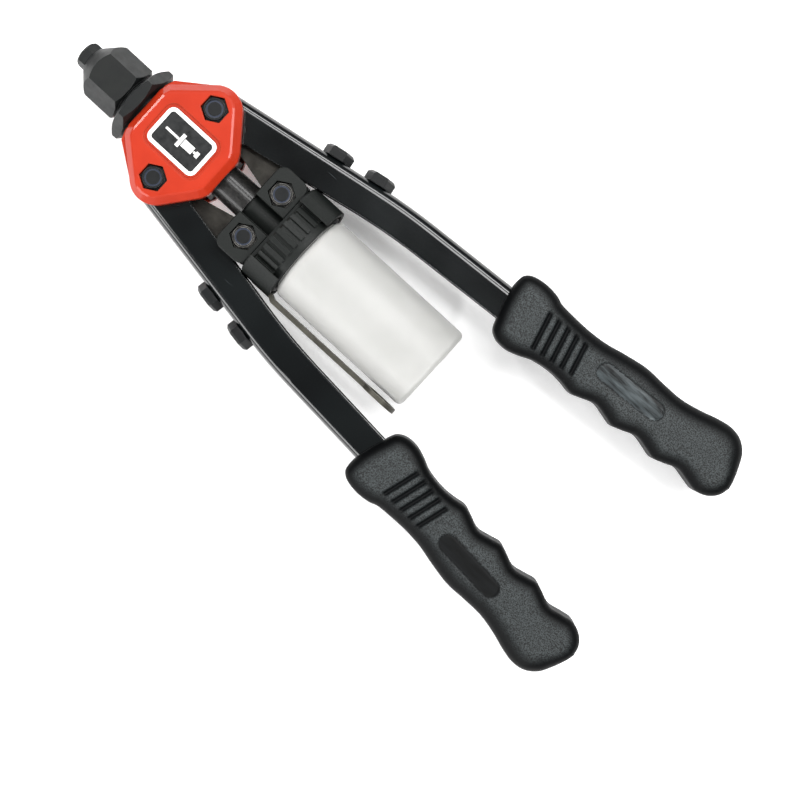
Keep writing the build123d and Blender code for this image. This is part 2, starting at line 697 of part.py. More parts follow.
# ---- jaw pusher and its spring
pusher_start = jaw_end + 0.05
pusher_r = case_inner_r - 0.08
pusher_neck = 3.6
with BuildPart() as jaw_pusher:
    add(turned([(pusher_start, 2.0), (pusher_start, 4.4), (pusher_start + 1.1, pusher_neck + 1.2),
                (pusher_start + 1.1, 5.4), (pusher_start + pusher_length - 2.2, 5.4),
                (pusher_start + pusher_length - 2.2, pusher_neck),
                (pusher_start + pusher_length, pusher_neck), (pusher_start + pusher_length, 2.0)]))
save(jaw_pusher.part, "jaw_pusher")
spring_start = pusher_start + pusher_length - 2.2 + 0.1
spring_end = tube_start - 5.0 - 0.05
spring_r = 5.0
spring_turns = 4
with BuildPart() as jaw_spring:
    span = spring_end - spring_start - 2 * spring_wire_r
    with BuildLine():
        coil = Helix(pitch=span / spring_turns, height=span, radius=spring_r,
                     center=(spring_start + spring_wire_r, 0, 0), direction=(1, 0, 0))
    with BuildSketch(Plane(origin=coil @ 0, z_dir=coil % 0)):
        Circle(spring_wire_r)
    sweep()
save(jaw_spring.part, "jaw_spring")

# ---- yoke: two pairs of ears on a central barrel, with a rear flange
ear_low = link_half + 0.3
ear_thin_low = arm_height / 2 + flange_gap
yoke_corner = 4.4
with BuildSketch() as ear_outline:
    with BuildLine():
        FilletPolyline((yoke_end, yoke_inner_y), (yoke_end, yoke_ear_y), (yoke_start, yoke_ear_y),
                       (yoke_start, yoke_inner_y), radius=yoke_corner)
        Line((yoke_start, yoke_inner_y), (yoke_end, yoke_inner_y))
    make_face()
with BuildPart() as ear:
    with BuildSketch(Plane.XY.offset(ear_low)):
        add(ear_outline.sketch)
    extrude(amount=yoke_top_z - ear_low)
    with BuildSketch(Plane.XY.offset(ear_low)):
        with Locations((yoke_start + 10, yoke_block_y + 10)):
            Rectangle(40, 20)
    extrude(amount=ear_thin_low - ear_low, mode=Mode.SUBTRACT)
    chamfer(ear.faces().sort_by(Axis.Z)[-1].edges(), 0.5)
with BuildPart() as ears:
    add(ear.part)
    mirror(ear.part, about=Plane.XZ)
    mirror(ears.part, about=Plane.XY)
yoke_barrel = turned([(yoke_start, 0), (yoke_start, yoke_barrel_r), (holder_start, yoke_barrel_r),
                      (holder_start, 0)])
slot_start = yoke_bolt[0] - link_eye_r - 1.2
link_rooms = [box((slot_start, yoke_end + 0.01), (yoke_flat_y, 30), (-ear_low, ear_low)),
              box((slot_start, yoke_end + 0.01), (-30, -yoke_flat_y), (-ear_low, ear_low))]
mandrel_way = turned([(yoke_start + tube_stub, 0), (yoke_start + tube_stub, tube_bore_r),
                      (holder_start + 1, tube_bore_r), (holder_start + 1, 0)])
stub_socket = turned([(yoke_start - 1, 0), (yoke_start - 1, tube_stub_r + slip_fit),
                      (yoke_start + tube_stub + slip_fit, tube_stub_r + slip_fit),
                      (yoke_start + tube_stub + slip_fit, 0)])
yoke_recesses = [hex_z(x, y, recess_af, yoke_nut_z, yoke_top_z + 1) for x, y in yoke_bolts_at]
yoke_back_z = -(yoke_top_z - 0.1)
yoke_recesses += [hex_z(x, y, recess_af, yoke_back_z - 1, yoke_back_z + bolt_head_height)
                  for x, y in yoke_bolts_at]
yoke_holes = [rod_z(x, y, bolt_r + slip_fit, -20, 20) for x, y in yoke_bolts_at]
with BuildPart() as yoke:
    add(yoke_barrel)
    add(ears.part)
    add(link_rooms, mode=Mode.SUBTRACT)
    add(mandrel_way, mode=Mode.SUBTRACT)
    add(stub_socket, mode=Mode.SUBTRACT)
    add(yoke_recesses, mode=Mode.SUBTRACT)
    add(yoke_holes, mode=Mode.SUBTRACT)
save(yoke.part, "yoke")
save(hex_bolts(yoke_bolts_at, yoke_back_z, yoke_nut_z + nyloc_height - 0.2), "yoke_bolts")
save(nyloc_nuts(yoke_bolts_at, yoke_nut_z), "yoke_nuts")
save(nyloc_rings(yoke_bolts_at, yoke_nut_z), "yoke_nut_rings")

# ---- bottle holder: round shell with two side walls, open above and below for the ribbed cap
wall_end = holder_start + holder_wall
spigot_end = wall_end + spigot_length
tongue_start = 120.0
tongue_y = (-holder_r - 0.15, -holder_bore_r + 0.05)
tongue_slot = box((tongue_start - 0.1, holder_end + 1), (tongue_y[0] - 1, tongue_y[1] + 0.6),
                  (-spanner_height / 2 - slip_fit, spanner_height / 2 + slip_fit))
with BuildPart() as holder:
    add(turned([(holder_start, tube_bore_r), (holder_start, holder_r - 0.8), (holder_start + 0.8, holder_r),
                (holder_end, holder_r), (holder_end, holder_bore_r), (wall_end, holder_bore_r),
                (wall_end, spigot_r), (spigot_end, spigot_r), (spigot_end, spigot_r - 2.0),
                (wall_end, spigot_r - 2.0), (wall_end, tube_bore_r)]))
    with BuildSketch(Plane.YZ.offset(wall_end + 0.2)):
        for side in (1, -1):
            with Locations((0, side * 25)):
                Rectangle(2 * window_y, 24)
    extrude(amount=holder_end - wall_end, mode=Mode.SUBTRACT)
    with BuildSketch(Plane.YZ.offset(holder_start - 1)):
        for side in (1, -1):
            with Locations((0, side * (spigot_r + 1 + 12))):
                Rectangle(2 * window_y, 24)
    extrude(amount=20, mode=Mode.SUBTRACT)
    add(tongue_slot, mode=Mode.SUBTRACT)
save(holder.part, "holder")

# ---- ribbed cap, seal and bottle
cap_face_x = cap_start + cap_wall
with BuildPart() as bottle_cap:
    add(turned([(cap_start, spigot_r + 0.1), (cap_start, cap_r - 0.8), (cap_start + 0.8, cap_r),
                (cap_end, cap_r), (cap_end, neck_r + slip_fit), (cap_face_x + 1.6, neck_r + slip_fit),
                (cap_face_x + 1.6, spigot_r + 0.1)]))
    with BuildSketch(Plane.YZ.offset(cap_start + 0.2)):
        with PolarLocations(cap_r, cap_rib_count):
            Rectangle(2 * cap_rib_height, cap_rib_width)
    extrude(amount=cap_rib_length)
    add(turned([(cap_start - 1, 0), (cap_start - 1, 15.6), (cap_start + 1.2, 15.6), (cap_start + 1.2, 0)]),
        mode=Mode.SUBTRACT)
save(bottle_cap.part, "bottle_cap")
with BuildPart() as bottle_seal:
    add(turned([(wall_end + 0.05, spigot_r + 0.1), (wall_end + 0.05, 15.4), (cap_start + 1.15, 15.4),
                (cap_start + 1.15, spigot_r + 0.1)]))
save(bottle_seal.part, "bottle_seal")
neck_start = cap_face_x + 1.7
with BuildPart() as bottle:
    with BuildSketch(Plane.XZ):
        with BuildLine():
            FilletPolyline((neck_start, neck_r), (bottle_start + 0.6, neck_r), (bottle_start + 0.6, bottle_r),
                           (bottle_end, bottle_r), (bottle_end, 0), radius=0.5)
            Polyline((bottle_end, 0), (neck_start, 0), (neck_start, neck_r))
        make_face()
    revolve(axis=Axis.X)
    add(turned([(neck_start - 1, 0), (neck_start - 1, neck_r - bottle_wall),
                (bottle_start + 2.5, neck_r - bottle_wall), (bottle_start + 5, bottle_r - bottle_wall),
                (bottle_end - 4, bottle_r - bottle_wall), (bottle_end - bottle_wall, bottle_r - 4),
                (bottle_end - bottle_wall, 0)]), mode=Mode.SUBTRACT)
save(bottle.part, "bottle")

# ---- spanner: stamped strip with a ring head, its tongue held in the holder's wall
half_t = spanner_thickness / 2
head_x = spanner_tip_x - spanner_head_r
strip_end = head_x - spanner_ring / 2 - 1.2
tongue_mid = sum(tongue_y) / 2
with BuildPart() as spanner:
    with BuildSketch(Plane.XY.offset(-spanner_height / 2)):
        with BuildLine():
            Polyline((tongue_start, tongue_y[0]), (holder_end + 0.6, tongue_y[0]),
                     (holder_end + 2.4, spanner_y - half_t), (strip_end, spanner_y - half_t),
                     (strip_end, spanner_y + half_t), (holder_end + 3.0, spanner_y + half_t),
                     (holder_end + 1.2, tongue_y[1]), (tongue_start, tongue_y[1]), close=True)
        make_face()
    extrude(amount=spanner_height)
    with BuildSketch(Plane.XZ.offset(-spanner_y - half_t)):
        with Locations((head_x, 0)):
            Circle(spanner_head_r)
        with Locations((head_x, 0)):
            RegularPolygon(spanner_ring / 2, 6, major_radius=False, mode=Mode.SUBTRACT)
    extrude(amount=spanner_thickness)
save(spanner.part, "spanner")

# ---- linkage figures, printed for whoever sets the joints
print("link length", round(link_length, 3), "lean", round(link_lean, 3))
print("pin", pin_spot, "yoke bolt", yoke_bolt, "grip", grip_x, round(grip_y, 3))
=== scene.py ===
"""Looks of the two-handed lever riveter: materials, moulded grips, bottle and badge mark."""
import math

import bmesh
import bpy
import numpy as np
from mathutils import Matrix, Vector


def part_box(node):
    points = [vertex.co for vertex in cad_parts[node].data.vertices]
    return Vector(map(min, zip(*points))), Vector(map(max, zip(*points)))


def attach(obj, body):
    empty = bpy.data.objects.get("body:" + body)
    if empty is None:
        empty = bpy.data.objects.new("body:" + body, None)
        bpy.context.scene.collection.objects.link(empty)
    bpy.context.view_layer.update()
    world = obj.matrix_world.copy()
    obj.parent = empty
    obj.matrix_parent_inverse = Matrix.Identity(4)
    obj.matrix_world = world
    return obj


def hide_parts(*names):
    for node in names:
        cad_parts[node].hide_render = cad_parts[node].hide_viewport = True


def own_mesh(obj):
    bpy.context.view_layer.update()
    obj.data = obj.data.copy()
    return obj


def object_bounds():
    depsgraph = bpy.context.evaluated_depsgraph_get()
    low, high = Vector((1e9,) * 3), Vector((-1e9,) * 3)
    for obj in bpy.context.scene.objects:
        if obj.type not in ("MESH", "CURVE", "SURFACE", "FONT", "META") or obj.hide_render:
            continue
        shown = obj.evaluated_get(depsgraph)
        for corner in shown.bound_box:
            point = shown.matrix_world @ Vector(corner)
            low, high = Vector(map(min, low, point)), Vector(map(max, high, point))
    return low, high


MM = 0.001

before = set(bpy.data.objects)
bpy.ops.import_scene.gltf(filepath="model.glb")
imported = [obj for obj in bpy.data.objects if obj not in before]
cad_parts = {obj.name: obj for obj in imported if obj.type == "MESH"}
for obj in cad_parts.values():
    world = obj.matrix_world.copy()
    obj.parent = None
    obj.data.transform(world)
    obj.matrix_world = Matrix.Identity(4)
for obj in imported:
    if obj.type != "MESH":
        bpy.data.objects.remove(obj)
cad_box = [list(corner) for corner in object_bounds()]


# ---------------------------------------------------------------- colour and node helpers
def linear(hex_colour):
    """Linear RGBA of an sRGB hex value."""
    values = [int(hex_colour[i:i + 2], 16) / 255 for i in (0, 2, 4)]
    return (*[v / 12.92 if v <= 0.04045 else ((v + 0.055) / 1.055) ** 2.4 for v in values], 1.0)


def add_node(tree, kind, settings=None, **links):
    """Add a node; settings hold properties or socket values, links hold sockets to plug in."""
    new = tree.nodes.new(kind)
    for key, value in (settings or {}).items():
        if isinstance(key, str) and hasattr(new, key):
            setattr(new, key, value)
        else:
            new.inputs[key].default_value = value
    for key, source in links.items():
        name = key.replace("_", " ")
        target = new.inputs[int(name[1:])] if name[0] == "i" and name[1:].isdigit() else new.inputs[name]
        tree.links.new(source, target)
    return new


def start_material(name, **shader):
    """Material with a Principled shader whose uniform values are set on its own sockets."""
    made = bpy.data.materials.new(name)
    made.use_nodes = True
    tree = made.node_tree
    tree.nodes.clear()
    out = tree.nodes.new("ShaderNodeOutputMaterial")
    body = tree.nodes.new("ShaderNodeBsdfPrincipled")
    for key, value in shader.items():
        body.inputs[key.replace("_", " ")].default_value = value
    tree.links.new(body.outputs[0], out.inputs[0])
    place = tree.nodes.new("ShaderNodeTexCoord").outputs["Object"]
    return made, tree, body, place


def ramp(tree, factor, low, high, dark=0.0, light=1.0):
    """Map a factor between low and high to the range dark to light, clamped."""
    return add_node(tree, "ShaderNodeMapRange", {"From Min": low, "From Max": high, "To Min": dark,
                                                 "To Max": light}, Value=factor).outputs[0]


def mix_colour(tree, factor, first, second):
    """Mix two colours, each a hex value or a socket, by a factor."""
    mixer = add_node(tree, "ShaderNodeMix", {"data_type": "RGBA"})
    tree.links.new(factor, mixer.inputs[0])
    for index, colour in ((6, first), (7, second)):
        if isinstance(colour, str):
            mixer.inputs[index].default_value = linear(colour)
        else:
            tree.links.new(colour, mixer.inputs[index])
    return mixer.outputs[2]


def noise(tree, place, size_mm, detail=3.0, rough=0.55):
    """Noise whose blobs are about size_mm across."""
    return add_node(tree, "ShaderNodeTexNoise", {"Scale": 1000 / size_mm, "Detail": detail,
                                                 "Roughness": rough}, Vector=place).outputs[0]


def stretched(tree, place, share, turn=0.0):
    """Texture place squeezed along X, so that noise draws out into streaks; turn is in radians about Z."""
    return add_node(tree, "ShaderNodeMapping", {"Rotation": (0.0, 0.0, turn), "Scale": (share, 1.0, 1.0)},
                    Vector=place).outputs[0]


def product(tree, first, second):
    """Product of two factors."""
    return add_node(tree, "ShaderNodeMath", {"operation": "MULTIPLY"}, i0=first, i1=second).outputs[0]


def round_edges(tree, radius_mm):
    """Normal that turns smoothly over each edge, as if the edge had this radius."""
    return add_node(tree, "ShaderNodeBevel", {"samples": 6, "Radius": radius_mm * MM})


def edge_mask(tree, radius_mm, low=0.02, high=0.35):
    """Mask of the edges, 1 near them and 0 on flat faces, and the rounded normal that it comes from."""
    rounded = round_edges(tree, radius_mm)
    true = add_node(tree, "ShaderNodeNewGeometry")
    dot = add_node(tree, "ShaderNodeVectorMath", {"operation": "DOT_PRODUCT"}, i0=rounded.outputs[0],
                   i1=true.outputs["Normal"])
    turn = add_node(tree, "ShaderNodeMath", {"operation": "SUBTRACT", 0: 1.0}, i1=dot.outputs["Value"])
    return ramp(tree, turn.outputs[0], low, high), rounded.outputs[0]


def bump(tree, body, height, strength, depth_mm, normal=None):
    """Bump from a height factor, on top of an optional rounded normal."""
    node = add_node(tree, "ShaderNodeBump", {"Strength": strength, "Distance": depth_mm * MM}, Height=height)
    if normal is not None:
        tree.links.new(normal, node.inputs["Normal"])
    tree.links.new(node.outputs[0], body.inputs["Normal"])


# ---------------------------------------------------------------- materials
def black_oxide_steel(name, colour, worn, rough, edge_mm):
    """Machined steel, hot blackened: dark satin with edges rubbed lighter and faint oil blotches."""
    made, tree, body, place = start_material(name, Specular_IOR_Level=0.22)
    edges, rounded = edge_mask(tree, edge_mm)
    patchy = noise(tree, place, 4.0, 5.0)
    wear = product(tree, edges, ramp(tree, patchy, 0.38, 0.62, 0.25, 1.0))
    blotch = mix_colour(tree, ramp(tree, noise(tree, place, 9.0, 4.0), 0.35, 0.65), colour, "121415")
    tree.links.new(mix_colour(tree, wear, blotch, worn), body.inputs["Base Color"])
    tree.links.new(ramp(tree, patchy, 0.3, 0.7, rough - 0.06, rough + 0.10), body.inputs["Roughness"])
    bump(tree, body, noise(tree, place, 0.6, 2.0), 0.18, 0.05, rounded)
    return made


def red_enamel():
    """Stove enamel over a die casting: glossy orange red, slightly wavy, lighter where thin on edges."""
    made, tree, body, place = start_material("red_enamel", Roughness=0.4, Specular_IOR_Level=0.15,
                                             Coat_Weight=0.5, Coat_Roughness=0.05)
    edges, rounded = edge_mask(tree, 1.1, 0.01, 0.3)
    cloud = noise(tree, place, 14.0, 3.0)
    base = mix_colour(tree, ramp(tree, cloud, 0.3, 0.7), "b23018", "a82b14")
    thin = product(tree, edges, ramp(tree, cloud, 0.2, 0.8, 0.2, 0.5))
    tree.links.new(mix_colour(tree, thin, base, "c9563a"), body.inputs["Base Color"])
    bump(tree, body, noise(tree, place, 1.1, 2.0), 0.10, 0.05, rounded)
    return made


def gloss_black_paint():
    """Baked enamel on pressed steel: deep black with a clear gloss, and a few fine slanted scratches."""
    made, tree, body, place = start_material("gloss_black_paint", Specular_IOR_Level=0.25,
                                             Coat_Weight=0.8, Coat_Roughness=0.05)
    rounded = round_edges(tree, 0.9).outputs[0]
    film = noise(tree, place, 45.0, 2.0)
    slanted = stretched(tree, place, 0.06, 0.9)
    scratch = ramp(tree, noise(tree, slanted, 0.9, 2.0, 0.5), 0.75, 0.82)
    base = mix_colour(tree, ramp(tree, film, 0.35, 0.65), "080a0b", "0d1112")
    tree.links.new(mix_colour(tree, scratch, base, "33383a"), body.inputs["Base Color"])
    tree.links.new(ramp(tree, film, 0.3, 0.7, 0.14, 0.26), body.inputs["Roughness"])
    bump(tree, body, noise(tree, place, 2.2, 2.0), 0.05, 0.05, rounded)
    return made


def grip_rubber():
    """Soft PVC moulding: spark-eroded grain on the flat faces and smoother on the rolled rim; the rim,
    grooves and inlay line are painted near black as shade.
    """
    made, tree, body, place = start_material("grip_rubber", Specular_IOR_Level=0.3)
    face = add_node(tree, "ShaderNodeAttribute", {"attribute_name": "flatness_and_painted_shade"}).outputs["Fac"]
    grain = noise(tree, place, 0.5, 2.0, 0.75)
    tint = mix_colour(tree, ramp(tree, grain, 0.40, 0.60), "050606", "3c4142")
    # painted shade: where the flatness falls, on the rim, in the grooves and in the line round the inlay, the
    # colour turns to near-black 030405
    tree.links.new(mix_colour(tree, face, "030405", tint), body.inputs["Base Color"])
    tree.links.new(ramp(tree, face, 0.0, 1.0, 0.08, 0.3), body.inputs["Specular IOR Level"])
    tree.links.new(ramp(tree, face, 0.0, 1.0, 0.5, 0.55), body.inputs["Roughness"])
    height = product(tree, grain, ramp(tree, face, 0.0, 1.0, 0.3, 1.0))
    bump(tree, body, height, 0.8, 0.16)
    return made


def grip_inlay(name, colour, rough):
    """Polished island in the mould face of the grip."""
    made, tree, body, place = start_material(name, IOR=1.5, Specular_IOR_Level=0.15)
    streak = noise(tree, stretched(tree, place, 0.15), 2.0, 3.0)
    streaked = mix_colour(tree, ramp(tree, streak, 0.35, 0.65), colour, "0b0d0e")
    tree.links.new(streaked, body.inputs["Base Color"])
    tree.links.new(ramp(tree, streak, 0.3, 0.7, rough, rough + 0.12), body.inputs["Roughness"])
    bump(tree, body, streak, 0.1, 0.05)
    return made


def frosted_bottle():
    """Blow-moulded polyethylene: milky, soft light through the wall, faint waviness."""
    made, tree, body, place = start_material("frosted_polyethylene", Roughness=0.45, IOR=1.51,
                                             Subsurface_Weight=0.5, Subsurface_Scale=0.006)
    body.inputs["Subsurface Radius"].default_value = (1.0, 1.0, 0.95)
    cloud = noise(tree, place, 22.0, 2.0)
    milky = mix_colour(tree, ramp(tree, cloud, 0.3, 0.7), "b4b4b1", "aeaeab")
    tree.links.new(milky, body.inputs["Base Color"])
    bump(tree, body, noise(tree, place, 6.0, 2.0), 0.08, 0.2)
    return made


def oiled_tube():
    """Hot-rolled tube, oiled: coarse black scale whose bumps sparkle."""
    made, tree, body, place = start_material("oiled_black_tube", Specular_IOR_Level=0.3,
                                             Coat_Weight=0.35, Coat_Roughness=0.15)
    scale = noise(tree, place, 0.9, 4.0, 0.7)
    scaled = mix_colour(tree, ramp(tree, scale, 0.4, 0.65), "040404", "201f1d")
    tree.links.new(scaled, body.inputs["Base Color"])
    tree.links.new(ramp(tree, scale, 0.3, 0.7, 0.25, 0.5), body.inputs["Roughness"])
    bump(tree, body, scale, 0.6, 0.25)
    return made


def bare_steel(name, colour, dark, rough):
    """Rolled steel plate left bare: grey, faint rolling lines along the tool, brown-grey oil film."""
    made, tree, body, place = start_material(name, Metallic=0.75)
    edges, rounded = edge_mask(tree, 0.3)
    lines = noise(tree, stretched(tree, place, 0.12), 0.7, 4.0, 0.65)
    film = noise(tree, place, 6.0, 4.0)
    base = mix_colour(tree, ramp(tree, film, 0.35, 0.7), colour, dark)
    tree.links.new(mix_colour(tree, edges, base, "a09c94"), body.inputs["Base Color"])
    tree.links.new(ramp(tree, lines, 0.3, 0.7, rough - 0.08, rough + 0.1), body.inputs["Roughness"])
    bump(tree, body, lines, 0.2, 0.06, rounded)
    return made


def moulded_black():
    """Glass-filled nylon moulding or bead-blasted casting: matte dark grey with a fine even grain."""
    made, tree, body, place = start_material("glass_filled_nylon", Specular_IOR_Level=0.22)
    edges, rounded = edge_mask(tree, 0.5)
    grain = noise(tree, place, 0.5, 2.0)
    base = mix_colour(tree, ramp(tree, grain, 0.35, 0.65), "191c1a", "121514")
    rubbed = product(tree, edges, ramp(tree, grain, 0.3, 0.7, 0.15, 0.55))
    tree.links.new(mix_colour(tree, rubbed, base, "343836"), body.inputs["Base Color"])
    tree.links.new(ramp(tree, grain, 0.3, 0.7, 0.45, 0.58), body.inputs["Roughness"])
    bump(tree, body, grain, 0.25, 0.06, rounded)
    return made


def plain_moulding(name, colour, rough):
    """Printed film or dyed plastic: nearly even, with a faint mottling of its gloss."""
    made, tree, body, place = start_material(name, IOR=1.5)
    cloud = noise(tree, place, 3.0, 3.0)
    body.inputs["Base Color"].default_value = linear(colour)
    tree.links.new(ramp(tree, cloud, 0.3, 0.7, rough - 0.05, rough + 0.08), body.inputs["Roughness"])
    bump(tree, body, cloud, 0.05, 0.05)
    return made


OXIDE = black_oxide_steel("black_oxide_steel", "171918", "5a5e5c", 0.42, 0.4)
BOLT = black_oxide_steel("black_bolt_steel", "121314", "4a4d50", 0.4, 0.35)
NUT = black_oxide_steel("lock_nut_steel", "0e0f10", "5d6164", 0.34, 0.5)
# yoke nuts: the near-white d0ccc4 on their rubbed edges is partly wear and partly a painted highlight of the
# silver collar rim
RIM_NUT = black_oxide_steel("lock_nut_steel_wear_and_painted_highlight", "0e0f10", "d0ccc4", 0.35, 0.5)
ENAMEL = red_enamel()
PAINT = gloss_black_paint()
GRIP = grip_rubber()
INLAY_LIGHT = grip_inlay("polished_inlay", "4a5052", 0.22)
INLAY_DARK = grip_inlay("dark_inlay", "020303", 0.5)
BOTTLE = frosted_bottle()
TUBE = oiled_tube()
# the link's dark brown-grey, darker than the spanner's steel, is partly its bare steel and partly painted
# shade for the links lying deep between the arms
LINK = bare_steel("bare_link_steel", "34322e", "22201d", 0.4)
SPANNER = bare_steel("stamped_spanner_steel", "5a5850", "44423c", 0.45)
BRIGHT = bare_steel("ground_steel", "b5b3ae", "8f8d88", 0.28)
MOULDED = moulded_black()
NYLON = plain_moulding("dyed_nylon", "1a2438", 0.4)
BADGE_WHITE = plain_moulding("white_print", "f2f2f0", 0.35)
BADGE_BLACK = plain_moulding("black_film", "111314", 0.32)
SEAL = plain_moulding("nitrile_rubber", "17181a", 0.6)

FINISHES = {
    OXIDE: ("head_body", "nosepiece", "frame_head", "lock_nut", "upper_lever_core", "lower_lever_core"),
    BOLT: ("pivot_bolts", "yoke_bolts", "upper_arm_bolts", "lower_arm_bolts"),
    NUT: ("pivot_nuts",),
    RIM_NUT: ("yoke_nuts",),
    ENAMEL: ("front_cover", "rear_cover"),
    PAINT: ("upper_channel", "lower_channel", "upper_link_pin", "lower_link_pin"),
    GRIP: ("upper_grip", "lower_grip"),
    BOTTLE: ("bottle",),
    TUBE: ("puller_tube", "jaw_case"),
    LINK: ("upper_link", "lower_link"),
    SPANNER: ("spanner",),
    BRIGHT: ("pivot_bushes", "pivot_washers", "jaw_spring", "jaw_pusher", "jaw_1", "jaw_2", "jaw_3"),
    MOULDED: ("yoke", "holder", "bottle_cap"),
    NYLON: ("pivot_nut_rings", "yoke_nut_rings"),
    BADGE_WHITE: ("badge_frame",),
    BADGE_BLACK: ("badge_plate",),
    SEAL: ("bottle_seal",),
}
for finish, nodes in FINISHES.items():
    for name in nodes:
        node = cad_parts[name]
        node.data.materials.clear()
        node.data.materials.append(finish)


# ---------------------------------------------------------------- mesh helpers
def make_mesh(name, verts, quads, material, smooth=True):
    """Mesh object from a vertex array and a face array."""
    mesh = bpy.data.meshes.new(name)
    mesh.from_pydata(verts.tolist(), [], quads.tolist())
    mesh.polygons.foreach_set("use_smooth", np.full(len(mesh.polygons), smooth))
    mesh.materials.append(material)
    mesh.update()
    made = bpy.data.objects.new(name, mesh)
    bpy.context.scene.collection.objects.link(made)
    return made


def grid_faces(rows, columns, start=0, wrap=False, flip=False):
    """Quads of a rows by columns grid of vertices; wrap joins the last column to the first."""
    row, column = np.meshgrid(np.arange(rows - 1), np.arange(columns if wrap else columns - 1), indexing="ij")
    after = (column + 1) % columns
    quads = np.stack([row * columns + column, row * columns + after, (row + 1) * columns + after,
                      (row + 1) * columns + column], -1).reshape(-1, 4) + start
    return quads[:, ::-1] if flip else quads


def join_close(made, gap=1e-6):
    """Merge doubled vertices and drop the degenerate faces they leave."""
    work = bmesh.new()
    work.from_mesh(made.data)
    bmesh.ops.remove_doubles(work, verts=work.verts, dist=gap)
    bmesh.ops.dissolve_degenerate(work, edges=work.edges, dist=gap / 2)
    bmesh.ops.recalc_face_normals(work, faces=work.faces)
    work.to_mesh(made.data)
    work.free()
    made.data.update()


def curve_through(points, count):
    """Evenly spaced points on a centripetal Catmull-Rom curve through the given points."""
    points = np.asarray(points, float)
    ends = np.vstack([2 * points[0] - points[1], points, 2 * points[-1] - points[-2]])
    fine = []
    for index in range(1, len(ends) - 2):
        p0, p1, p2, p3 = ends[index - 1:index + 3]
        k0 = 0.0
        k1 = np.linalg.norm(p1 - p0) ** 0.5
        k2 = k1 + np.linalg.norm(p2 - p1) ** 0.5
        k3 = k2 + np.linalg.norm(p3 - p2) ** 0.5
        t = np.linspace(k1, k2, 40, endpoint=False)[:, None]
        a1 = (k1 - t) / (k1 - k0) * p0 + (t - k0) / (k1 - k0) * p1
        a2 = (k2 - t) / (k2 - k1) * p1 + (t - k1) / (k2 - k1) * p2
        a3 = (k3 - t) / (k3 - k2) * p2 + (t - k2) / (k3 - k2) * p3
        b1 = (k2 - t) / (k2 - k0) * a1 + (t - k0) / (k2 - k0) * a2
        b2 = (k3 - t) / (k3 - k1) * a2 + (t - k1) / (k3 - k1) * a3
        fine.append((k2 - t) / (k2 - k1) * b1 + (t - k1) / (k2 - k1) * b2)
    fine = np.vstack(fine + [points[-1:]])
    length = np.concatenate([[0], np.cumsum(np.linalg.norm(np.diff(fine, axis=0), axis=1))])
    even = np.linspace(0, length[-1], count)
    return np.stack([np.interp(even, length, fine[:, i]) for i in (0, 1)], -1)


# ---------------------------------------------------------------- grips
# local millimetres: u along the arm from where it enters, v towards the palm side
GRIP_PALM = [(-1.0, 4.0), (-1.3, 10.0), (-0.6, 13.6), (2.2, 15.9), (9.0, 16.9), (16.3, 15.9), (20, 14.4),
             (26, 13.6), (36, 12.8), (45, 13.0), (55, 14.5), (65.4, 15.5), (75, 14.7), (85, 14.2),
             (94, 15.4), (103, 17.4), (109.5, 18.0), (115, 16.6), (119.6, 12.6), (122.2, 7.0),
             (123.9, 0.8)]
GRIP_FINGER_FRONT = [(0.2, -2.0), (1.6, -7.0), (3.4, -12.0), (7.0, -14.6), (12.8, -15.4), (18.6, -14.2),
                     (25, -12.0), (34, -11.2), (40.5, -11.9)]
BUMP_PITCH = 22.4
FIRST_BUMP = 46.3
GRIP_HEEL = [(114.0, -12.9), (119.5, -11.2), (123.0, -7.8), (124.6, -3.3)]
GRIP_LEAN = math.radians(4.33)            # grip's line to the tool's axis, handles closed
GRIP_ORIGIN = (206.0, 42.65)              # where the arm enters, mm from the frame's origin
GRIP_HALF = 12.0                          # half thickness
RIM_RADIUS = 5.4                          # rolled rim, finger side
RIM_PALM_EXTRA = 2.2                      # added to it on the palm side
RIM_FALL = 0.8                            # share of a full quarter round
CROWN, CROWN_REACH = 0.9, 5.0             # fall of the face near the rim
GROOVE_COUNT = 5
GROOVE_FIRST = 19.9
GROOVE_PITCH = 4.9
GROOVE_WIDTH = 2.2
GROOVE_DEPTH = 1.3
GROOVE_LEAN = math.tan(math.radians(11))
GROOVE_PALM_END, GROOVE_PALM_STEP = 9.2, -0.25         # first groove's end, and change per groove
GROOVE_FINGER_END, GROOVE_FINGER_STEP = -9.4, 0.35
GROOVE_RUN_OUT = 1.5
RIDGE_HEIGHT, RIDGE_WIDTH = 0.35, 0.9
INLAY_CENTRE = (65.4, 2.8)
INLAY_HALF = (17.0, 4.0)
LINE_DEPTH, LINE_WIDTH = 0.45, 0.42       # thin line around the inlay
FACE_LEVEL = 9.0                          # faces higher than this are the grip's front and back


def grip_outline(count):
    """Two chains of points from the front to the heel, one on the palm side and one on the finger side."""
    fingers = list(GRIP_FINGER_FRONT)
    for index in range(3):
        crest = FIRST_BUMP + BUMP_PITCH * index
        fingers += [(crest, -13.1), (crest + 4.6, -12.0), (crest + BUMP_PITCH / 2, -10.15),
                    (crest + BUMP_PITCH - 4.6, -11.8)]
    fingers += GRIP_HEEL
    palm = curve_through(GRIP_PALM + [GRIP_HEEL[-1]], count)
    finger = curve_through([GRIP_PALM[0]] + fingers, count)
    return palm, finger


def stadium(u, v):
    """Signed distance in mm to the stadium-shaped inlay, negative inside."""
    straight = INLAY_HALF[0] - INLAY_HALF[1]
    past = np.maximum(np.abs(u - INLAY_CENTRE[0]) - straight, 0)
    return np.hypot(past, v - INLAY_CENTRE[1]) - INLAY_HALF[1]


